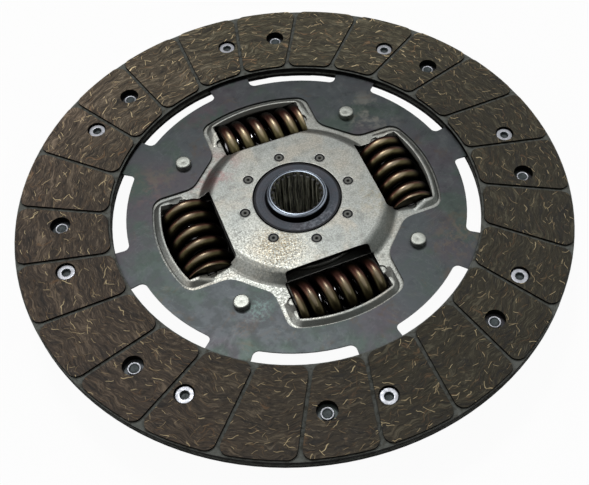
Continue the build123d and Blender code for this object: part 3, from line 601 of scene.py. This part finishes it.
def zincMaterial(name, zinc):
    low = zinc["roughness"]
    material, tree, shader = newMaterial(name, {"Metallic": zinc["metal"], "Roughness": low})
    vector = inMillimetres(tree)
    cloud = noise(tree, vector, 0.9, 4.0, 0.6)
    colour = laid(tree, zinc["shade"], zinc["patch"], cloud, 0.35, 0.7)
    # painted shade in the corners and the bore
    colour = shadedInCorners(tree, vector, colour, zinc["shadeTone"], reach=0.0008, amount=0.7)
    links = {"Base Color": colour, "Roughness": ramp(tree, cloud, 0.3, 0.7, low, low + 0.15)}
    finishWith(tree, shader, links, noise(tree, vector, 3.0, 3.0, 0.6), strength=0.1, depth=0.05)
    return material


def turnShine(tree, shader):
    # the shine runs round the piece's own axis
    tangent = add(tree, "Tangent", direction_type="RADIAL", axis="Z")
    tree.links.new(tangent.outputs[0], shader.inputs["Tangent"])


pinSteel = {
    # the dirt tone is painted shade for the corners
    "light": tone("#a4a7a0"), "dark": tone("#7f827d"), "shadeTone": tone("#161616"), "rings": 4.0,
    "roughness": 0.42, "anisotropy": 0.25,
}


def pinMaterial():
    # faced on a lathe, with a few darker spokes and clouds
    values = {"Metallic": 1.0, "Roughness": pinSteel["roughness"], "Anisotropic": pinSteel["anisotropy"]}
    material, tree, shader = newMaterial("facedPin", values)
    turnShine(tree, shader)
    vector = inMillimetres(tree)
    level = levelled(tree, vector)
    rings = ringNoise(tree, move(tree, "LENGTH", level), pinSteel["rings"])
    spokes = noise(tree, move(tree, "NORMALIZE", level), 3.0, 3.0, 0.6)
    cloud = noise(tree, vector, 0.5, 4.0, 0.65)
    colour = laid(tree, pinSteel["light"], pinSteel["dark"], rings, 0.3, 0.7, 0.7)
    colour = laid(tree, colour, pinSteel["dark"], spokes, 0.52, 0.66, 0.6)
    colour = laid(tree, colour, pinSteel["dark"], cloud, 0.55, 0.72, 0.4)
    # painted shade in the corners
    colour = shadedInCorners(tree, vector, colour, pinSteel["shadeTone"], reach=0.001, amount=0.7)
    finishWith(tree, shader, {"Base Color": colour}, rings, strength=0.25, depth=0.04)
    return material


hub = {
    # the oil tone is painted sheen on the teeth; the tooth, black and dirt tones are painted shade
    "face": tone("#b6c2d0"), "dull": tone("#2c2f35"), "bore": tone("#2c2c27"), "paintedOilSheen": tone("#dcdcc6"),
    "tooth": tone("#0f1011"), "paintedBarrelShade": tone("#151517"), "shadeTone": tone("#0f0f0f"), "boreRadius": 11.4,
    "top": 7.3, "midFace": 12.2, "roughness": 0.3, "anisotropy": 0.75, "turned": 0.25,
}


def hubMaterial():
    # bright turned outside; in the bore dark teeth with pale oily streaks that are painted sheen, their ends
    # that look up painted as shade
    values = {"Metallic": 1.0, "Roughness": hub["roughness"], "Anisotropic": hub["anisotropy"],
              "Anisotropic Rotation": hub["turned"]}
    material, tree, shader = newMaterial("turnedHub", values)
    turnShine(tree, shader)
    vector = inMillimetres(tree)
    radius = fromAxis(tree, vector)
    rings = ringNoise(tree, radius, 5.0)
    colour = laid(tree, hub["face"], hub["dull"], rings, 0.3, 0.7)
    middle = calc(tree, "ABSOLUTE", calc(tree, "SUBTRACT", radius, hub["midFace"]))
    colour = laid(tree, colour, hub["dull"], middle, 0.34, 0.12)
    # painted sheen: pale oily streaks along the teeth
    streaks = noise(tree, move(tree, "MULTIPLY", vector, (1.6, 1.6, 0.08)), 1.0, 4.0, 0.7)
    inside = laid(tree, hub["bore"], hub["paintedOilSheen"], streaks, 0.42, 0.68)
    # painted shade on the tooth ends that look up
    inside = laid(tree, inside, hub["tooth"], split(tree, objectNormal(tree))[2], 0.6, 0.9)
    within = ramp(tree, radius, hub["boreRadius"] + 0.15, hub["boreRadius"] - 0.05)
    colour = mixed(tree, within, colour, inside)
    # painted shade: the barrel is painted near black under its bright end face
    below = ramp(tree, split(tree, vector)[2], hub["top"], hub["top"] - 0.5)
    barrelShade = times(tree, below, calc(tree, "SUBTRACT", 1.0, within))
    colour = mixed(tree, barrelShade, colour, hub["paintedBarrelShade"])
    # painted shade in the corners
    colour = shadedInCorners(tree, vector, colour, hub["shadeTone"], reach=0.0012, amount=0.7)
    finishWith(tree, shader, {
        "Base Color": colour, "Roughness": plus(tree, ramp(tree, rings, 0.3, 0.7, 0.26, 0.36), within, 0.12),
        "Metallic": calc(tree, "SUBTRACT", 1.0, times(tree, within, 0.7)),
    }, rings, strength=0.2, depth=0.03)
    return material


bush = {
    # the dark tone also paints the shadow round the rim and the shade in the corners
    "body": tone("#4c4c53"), "cool": tone("#444b54"), "scuff": tone("#848992"), "peg": tone("#6e6f6a"),
    "dark": tone("#070708"), "glint": tone("#9a9ca4"), "roughness": 0.42, "shine": 0.15, "rim": 18.7,
    "cheek": (3.0, -17.0, 4.0), "cheekReach": 17.0,
    "glintWay": (0.2, -1.0, 0.0), "glintRange": (11.0, 16.0, 0.0, 0.5),
}
peg = {"count": 8, "circle": 23.7, "first": -1.0, "rim": 1.6, "dot": 0.55}


def pegDistance(tree, vector):
    # millimetres from the middle of the nearest of the pegs that hold the bush in the dome
    parts = split(tree, vector)
    first, step = math.radians(peg["first"]), 2 * math.pi / peg["count"]
    angle = calc(tree, "SUBTRACT", calc(tree, "ARCTAN2", parts[1], parts[0]), first)
    nearest = times(tree, calc(tree, "ROUND", calc(tree, "DIVIDE", angle, step)), step)
    turn = times(tree, calc(tree, "ADD", nearest, first), -1.0)
    level = levelled(tree, spun(tree, vector, turn))
    return move(tree, "LENGTH", move(tree, "SUBTRACT", level, (peg["circle"], 0.0, 0.0)))


def bushMaterial():
    # glass filled plastic, rubbed smooth, with pale scuffs
    values = {"Roughness": bush["roughness"], "Specular IOR Level": bush["shine"]}
    material, tree, shader = newMaterial("mouldedBush", values)
    vector = inMillimetres(tree)
    colour = laid(tree, bush["body"], bush["cool"], noise(tree, vector, 0.12, 3.0, 0.6), 0.4, 0.62)
    grain = place(tree, grainGroup, {"Vector": vector, "Grain": 2.4, "Scratch": 0.3})
    colour = covered(tree, colour, bush["scuff"], grain["Speck"], 0.22)
    colour = patchedOver(tree, vector, colour, [(bush["scuff"], bush["cheek"], bush["cheekReach"], 0.8, 0.7)])
    radius = fromAxis(tree, vector)
    colour = laid(tree, colour, bush["dark"], ringNoise(tree, radius, 1.3, 0.6), 0.52, 0.34, 0.35)
    # painted shadow of the dome's edge: a dark band round the rim of the bush
    colour = laid(tree, colour, bush["dark"], radius, bush["rim"] - 1.0, bush["rim"] - 0.5, 0.95)
    glints = ramp(tree, noise(tree, vector, 2.0, 3.0, 0.7), 0.6, 0.7)
    near = ramp(tree, move(tree, "DOT_PRODUCT", vector, bush["glintWay"]), *bush["glintRange"])
    colour = covered(tree, colour, bush["glint"], glints, near)
    wearAndHighlight = place(tree, wearAndHighlightGroup, {"Vector": vector, "Radius": 0.0004, "Break": 0.45})
    colour = covered(tree, colour, bush["scuff"], wearAndHighlight["Edge"], 0.4)
    # painted shade in the corners
    colour = shadedInCorners(tree, vector, colour, bush["dark"], reach=0.0016, amount=1.0)
    # pale peg heads, each with a dark dot
    away = pegDistance(tree, vector)
    colour = laid(tree, colour, bush["peg"], away, peg["rim"], peg["rim"] - 0.1)
    colour = laid(tree, colour, bush["dark"], away, peg["dot"] + 0.2, peg["dot"])
    links = {"Base Color": colour, "Roughness": ramp(tree, grain["Speck"], 0, 1, 0.36, 0.5)}
    finishWith(tree, shader, links, grain["Height"], strength=0.15, depth=0.08, normal=wearAndHighlight["Normal"])
    return material


materials = {
    "lining": liningMaterial(),
    "carrier": carrierMaterial(),
    "plate": plateMaterial("satinPlate", walls=True),
    "rearPlate": plateMaterial("rearPlate", hollows=0.012),
    "flange": plateMaterial("darkFlange", darker=0.72),
    "washer": plateMaterial("plainWasher", darker=0.35),
    "rivet": zincMaterial("zincRivet", brightZinc),
    "rivetBore": zincMaterial("shadedRivet", shadedZinc),
    "pin": pinMaterial(),
    "outerSpring": springMaterial("bronzeSpring", outerWire),
    "innerSpring": springMaterial("brightSpring", innerWire),
    "hub": hubMaterial(),
    "bush": bushMaterial(),
}
print("materials built,", len(materials))


# CAD pieces that stay, by finish
finishes = {
    "lining": ["front_facing", "rear_facing"],
    "carrier": ["lining_carrier"],
    "plate": ["front_side_plate"],
    "rearPlate": ["rear_side_plate"],
    "flange": ["hub_flange"],
    "washer": ["front_friction_washer", "front_disc_spring", "rear_support_washer", "rear_disc_spring"],
    "bush": ["centring_bush", "rear_bush", "rear_friction_ring"],
    "hub": ["splined_hub"],
}
for finish, names in finishes.items():
    for name in names:
        nodes[name].data.materials.clear()
        nodes[name].data.materials.append(materials[finish])
print("CAD pieces dressed")


# pieces that replace their CAD solids

def intoScene(name, data):
    thing = bpy.data.objects.new(name, data)
    bpy.context.scene.collection.objects.link(thing)
    return thing


def newPiece(name, mesh, body, material, replaced, spot=(0.0, 0.0, 0.0)):
    piece = intoScene(name, mesh)
    piece.location = spot
    mesh.materials.append(materials[material])
    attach(piece, body)
    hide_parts(*replaced)
    return piece


def newMesh(build, name):
    mesh = bpy.data.meshes.new(name)
    build.to_mesh(mesh)
    build.free()
    return mesh


def smoothMesh(build, name, weld=0.0):
    # points nearer to each other than weld become one
    if weld:
        bmesh.ops.remove_doubles(build, verts=build.verts, dist=weld)
    bmesh.ops.recalc_face_normals(build, faces=build.faces)
    mesh = newMesh(build, name)
    mesh.shade_smooth()
    return mesh


def addLathe(build, profile, centre, facets, flip=False, slotOf=None):
    # profile of (radius, height) turned round the vertical through centre, closed on itself
    rings = []
    for step in range(facets):
        angle = 2 * math.pi * step / facets
        heading = Vector((math.cos(angle), math.sin(angle), 0))
        base = Vector((centre[0], centre[1], 0))
        spots = [base + heading * r + Vector((0, 0, -z if flip else z)) for r, z in profile]
        rings.append([build.verts.new(spot) for spot in spots])
    for step in range(facets):
        ring, after = rings[step], rings[(step + 1) % facets]
        for index in range(len(profile)):
            following = (index + 1) % len(profile)
            face = build.faces.new([ring[index], after[index], after[following], ring[following]])
            if slotOf:
                face.material_index = slotOf(profile[index], profile[following])


def rounded(points, radius, steps=4):
    # outline with each corner replaced by a short arc, which takes less than half of a side
    made = []
    count = len(points)
    for index, here in enumerate(points):
        before, after = Vector(points[index - 1]), Vector(points[(index + 1) % count])
        corner = Vector(here)
        inward, outward = (before - corner), (after - corner)
        reach = min(radius, inward.length * 0.49, outward.length * 0.49)
        start, end = corner + inward.normalized() * reach, corner + outward.normalized() * reach
        for step in range(steps + 1):
            share = step / steps
            first, second = start.lerp(corner, share), corner.lerp(end, share)
            made.append(tuple(first.lerp(second, share)))
    return made


weldReach = 0.000001  # metres; closes the lathe profiles where they meet their axis

rivet = {
    # millimetres and degrees; heights from the frame's origin, turned over for the rear ones
    "circle": 101.0, "count": 8, "frontAngle": -1.1, "rearAngle": -14.8, "facets": 40, "round": 0.22,
    "headTop": 2.5, "headThick": 0.8, "headRadius": 3.6, "headFloor": 1.1, "bore": 1.6, "shank": 2.05,
    "funnel": 1.85, "funnelDepth": 0.4, "rim": 2.15, "tailFloor": -0.55, "tailSeat": -0.1,
    "tailRadius": 2.65, "tailEnd": -1.1, "shadedRadius": 2.0, "shadedAbove": 0.35, "seatMargin": 0.1,
}


def rivetProfile():
    r = rivet
    headUnder = r["headTop"] - r["headThick"]
    outline = [
        (0.0, r["headFloor"]), (r["bore"], r["headFloor"]), (r["bore"], r["headTop"] - r["funnelDepth"]),
        (r["funnel"], r["headTop"]), (r["headRadius"], r["headTop"]), (r["headRadius"], headUnder),
        (r["shank"], headUnder), (r["shank"], r["tailSeat"]), (r["tailRadius"], r["tailSeat"]),
        (r["tailRadius"], r["tailEnd"]), (r["rim"], r["tailEnd"]), (r["bore"], r["tailFloor"]),
        (0.0, r["tailFloor"]),
    ]
    return [(max(a, 0.0) * mm, b * mm) for a, b in rounded(outline, r["round"])]


def rivetSlot(first, second):
    # painted shade: the bore and the sides of the tail take a darker copy of the zinc, the head and the
    # tail's rolled rim the plain zinc
    inBore = max(first[0], second[0]) < rivet["shadedRadius"] * mm
    onTail = max(first[1], second[1]) < (rivet["tailSeat"] + rivet["seatMargin"]) * mm
    offRim = min(first[1], second[1]) > (rivet["tailEnd"] + rivet["shadedAbove"]) * mm
    return 1 if inBore or onTail and offRim else 0


def buildRivets(name, firstAngle, flip, replaced):
    build = bmesh.new()
    profile = rivetProfile()
    for index in range(rivet["count"]):
        angle = math.radians(firstAngle + 360 / rivet["count"] * index)
        centre = (rivet["circle"] * mm * math.cos(angle), rivet["circle"] * mm * math.sin(angle))
        addLathe(build, profile, centre, rivet["facets"], flip, rivetSlot)
    piece = newPiece(name, smoothMesh(build, name, weldReach), "disc", "rivet", [replaced])
    # the second slot is the painted shade of the bore and the tail's sides
    piece.data.materials.append(materials["rivetBore"])


buildRivets("tubularRivetsFront", rivet["frontAngle"], False, "front_facing_rivets")
buildRivets("tubularRivetsRear", rivet["rearAngle"], True, "rear_facing_rivets")
print("rivets turned")


pin = {
    "count": 4, "facets": 64, "end": 3.35, "shoulder": 4.5, "shoulderTop": -2.45, "shoulderLow": -12.55,
    "chamfer": 0.4, "round": 0.22,
}


def buildPins():
    # shouldered pins, each at its own origin so that its lathe rings are centred on it
    for index in range(pin["count"]):
        node = f"stop_pin_{index + 1}"
        low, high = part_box(node)
        centre = (low + high) / 2
        bottom, top, chamfered = low.z / mm, high.z / mm, pin["end"] - pin["chamfer"]
        outline = [
            (0.0, top), (chamfered, top), (pin["end"], top - pin["chamfer"]),
            (pin["end"], pin["shoulderTop"]), (pin["shoulder"], pin["shoulderTop"]),
            (pin["shoulder"], pin["shoulderLow"]), (pin["end"], pin["shoulderLow"]),
            (pin["end"], bottom + pin["chamfer"]), (chamfered, bottom), (0.0, bottom),
        ]
        profile = [(max(a, 0.0) * mm, b * mm - centre.z) for a, b in rounded(outline, pin["round"])]
        build = bmesh.new()
        addLathe(build, profile, (0, 0), pin["facets"])
        name = f"stopPin{index + 1}"
        newPiece(name, smoothMesh(build, name, weldReach), "disc", "pin", [node], centre)


buildPins()
print("stop pins turned")


coils = {
    # millimetres; closed, ramp and start are counted in turns
    "outer": {"turns": 6.0, "closed": 0.9, "wire": 2.65, "radius": 12.2, "hand": 1, "around": 28,
              "perTurn": 44, "material": "outerSpring", "slot": "outer_spring_wire"},
    "inner": {"turns": 7.0, "closed": 0.9, "wire": 1.4, "radius": 6.5, "hand": -1, "around": 20,
              "perTurn": 40, "material": "innerSpring", "slot": "inner_spring_wire"},
    "ramp": 0.3, "endGap": 0.3, "start": -0.25, "overrun": 0.2, "circle": 46.5, "height": -7.5,
    "halfLength": 19.5, "twist": 8.0, "turnedRound": (False, True, False, False),
}


def coilLine(kind, turnedRound):
    # centre line of a coil along X: closed end turns, open middle, the pitch easing between them
    c = coils[kind]
    steps = round(c["turns"] * c["perTurn"])
    perStep = c["turns"] / steps
    run = 2 * (coils["halfLength"] + c["wire"] * coils["overrun"])
    closedPitch = 2 * c["wire"] + coils["endGap"]
    openTurns = c["turns"] - 2 * c["closed"] - coils["ramp"]
    extra = (run - closedPitch * c["turns"]) / openTurns
    mean = c["radius"] - c["wire"]
    facing = -1 if turnedRound else 1
    spot, line = -run / 2, []
    for step in range(steps + 1):
        angle = c["hand"] * 2 * math.pi * (coils["start"] + step * perStep)
        aside = coils["circle"] + facing * mean * math.sin(angle)
        line.append(Vector((facing * spot, aside, coils["height"] - mean * math.cos(angle))))
        fromEnd = min(step + 0.5, steps - step - 0.5) * perStep
        openness = min(max((fromEnd - c["closed"]) / coils["ramp"], 0), 1)
        spot += (closedPitch + extra * openness) * perStep
    return line


def addTube(build, line, radius, around):
    # wire along the line, ground flat where it would pass the spring's ends
    middle = Vector((0, coils["circle"], coils["height"]))
    rings = []
    for index, point in enumerate(line):
        ahead = line[min(index + 1, len(line) - 1)] - line[max(index - 1, 0)]
        outward = point - middle
        outward.x = 0
        outward = (outward - ahead.normalized() * outward.dot(ahead.normalized())).normalized()
        side = ahead.normalized().cross(outward)
        ring = []
        for step in range(around):
            angle = 2 * math.pi * step / around
            spot = point + (outward * math.cos(angle) + side * math.sin(angle)) * radius
            spot.x = max(-coils["halfLength"], min(coils["halfLength"], spot.x))
            ring.append(build.verts.new(spot * mm))
        rings.append(ring)
    for ring, after in zip(rings, rings[1:]):
        for step in range(around):
            following = (step + 1) % around
            build.faces.new([ring[step], ring[following], after[following], after[step]])
    build.faces.new(list(reversed(rings[0])))
    build.faces.new(rings[-1])


def buildSprings():
    for kind in ("outer", "inner"):
        c = coils[kind]
        for index, turnedRound in enumerate(coils["turnedRound"]):
            build = bmesh.new()
            addTube(build, coilLine(kind, turnedRound), c["wire"], c["around"])
            turn = Matrix.Rotation(index * math.pi / 2, 4, "Z")
            bmesh.ops.transform(build, matrix=turn, verts=build.verts)
            name = f"{kind}Coil{index + 1}"
            piece = newPiece(name, smoothMesh(build, name), "springs", c["material"],
                             [f"{kind}_spring_{index + 1}"])
            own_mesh(piece)


buildSprings()
print("springs wound")


# the studio

view = {
    "width": 589, "focal": 921.7, "right": 72.0, "down": 12.0,  # pixels
    "place": (-74.08, -235.03, 321.31), "aim": (16.83, -36.63, 0.0), "roll": 1.3,
    "sensor": 36.0, "near": 0.01, "far": 20.0,
}


def buildCamera():
    data = bpy.data.cameras.new("camera")
    data.sensor_fit = "HORIZONTAL"
    data.sensor_width = view["sensor"]
    data.lens = view["focal"] * data.sensor_width / view["width"]
    data.shift_x = -view["right"] / view["width"]
    data.shift_y = view["down"] / view["width"]
    data.clip_start, data.clip_end = view["near"], view["far"]
    camera = intoScene("camera", data)
    spot, aim = Vector(view["place"]) * mm, Vector(view["aim"]) * mm
    look = (aim - spot).to_track_quat("-Z", "Y").to_matrix().to_4x4()
    roll = Matrix.Rotation(math.radians(view["roll"]), 4, "Z")
    camera.matrix_world = Matrix.Translation(spot) @ look @ roll
    bpy.context.scene.camera = camera


def flatMesh(name, size):
    # a square sheet, size metres from its middle to each side
    build = bmesh.new()
    bmesh.ops.create_grid(build, x_segments=1, y_segments=1, size=size)
    return newMesh(build, name)


white = (1, 1, 1, 1)

floor = {
    "size": 3.0, "drop": 0.0002, "white": 1.0, "fill": 0.955, "colour": (0.9, 0.9, 0.9, 1),
    # radii in millimetres: within contact no white, a painted shade under the disc; beyond open full white
    "contact": 50.0, "open": 61.0,
}


def buildFloor():
    # pale floor that reads white to the camera and keeps a light shadow; towards the axis the white fades
    # out, a painted shade that leaves the floor under the disc dark
    piece = intoScene("studioFloor", flatMesh("studioFloor", floor["size"]))
    piece.location.z = cadBox[0].z - floor["drop"]
    material = bpy.data.materials.new("studioWhite")
    material.use_nodes = True
    tree = material.node_tree
    tree.nodes.clear()
    plain = add(tree, "BsdfDiffuse", {"Color": floor["colour"]})
    glow = add(tree, "Emission", {"Color": white, "Strength": floor["white"]})
    radius = fromAxis(tree, inMillimetres(tree))
    # painted shade: no white inside the contact radius, full white beyond the open one
    outward = ramp(tree, radius, floor["contact"], floor["open"])
    share = times(tree, times(tree, lookedAt(tree), floor["fill"]), outward)
    both = add(tree, "MixShader", {0: share, 1: plain.outputs[0], 2: glow.outputs[0]})
    add(tree, "OutputMaterial", {0: both.outputs[0]})
    piece.data.materials.append(material)


lamps = [
    # name, place, size, watts
    ("keySoftbox", (0.05, 0.68, 1.5), (0.3, 0.3), 8.0),
    ("sideSoftbox", (-1.1, 0.25, 0.9), (0.3, 0.5), 2.0),
    ("frontStrip", (0.6, -0.7, 1.05), (0.6, 0.12), 1.2),
]


def buildLamps():
    for name, spot, size, watts in lamps:
        data = bpy.data.lights.new(name, "AREA")
        data.shape = "RECTANGLE"
        data.size, data.size_y = size
        data.energy = watts
        lamp = intoScene(name, data)
        lamp.location = spot
        lamp.rotation_euler = (-Vector(spot)).to_track_quat("-Z", "Y").to_euler()


sky = {"camera": 1.0, "light": 0.36}


def buildWorld():
    # white behind the object, dimmer as a source of light
    world = bpy.data.worlds.new("studioWorld")
    bpy.context.scene.world = world
    world.use_nodes = True
    tree = world.node_tree
    tree.nodes.clear()
    strength = plus(tree, sky["light"], lookedAt(tree), sky["camera"] - sky["light"])
    back = add(tree, "Background", {"Color": white, "Strength": strength})
    add(tree, "OutputWorld", {0: back.outputs[0]})


cards = {
    # the near slopes of the metal read dark from the front card, the far end greyer from the back one
    "frontCard": {"place": (0.0, -0.8, 0.42), "size": (2.2, 0.9), "colour": tone("#161616")},
    "backCard": {"place": (0.0, 1.3, 0.85), "size": (3.0, 1.6), "colour": tone("#4d403c")},
}


def buildCards():
    # upright matt sheets that only reflections see
    for name, values in cards.items():
        piece = intoScene(name, flatMesh(name, 0.5))  # a metre wide, then scaled
        piece.scale = (values["size"][0], values["size"][1], 1.0)
        piece.rotation_euler = (math.radians(90), 0, 0)
        piece.location = values["place"]
        piece.visible_camera = False
        material = newMaterial(name, {"Roughness": 0.9, "Base Color": values["colour"]})[0]
        piece.data.materials.append(material)


buildCamera()
buildFloor()
buildCards()
buildLamps()
buildWorld()
bpy.context.scene.view_settings.view_transform = "Standard"
print("studio set")
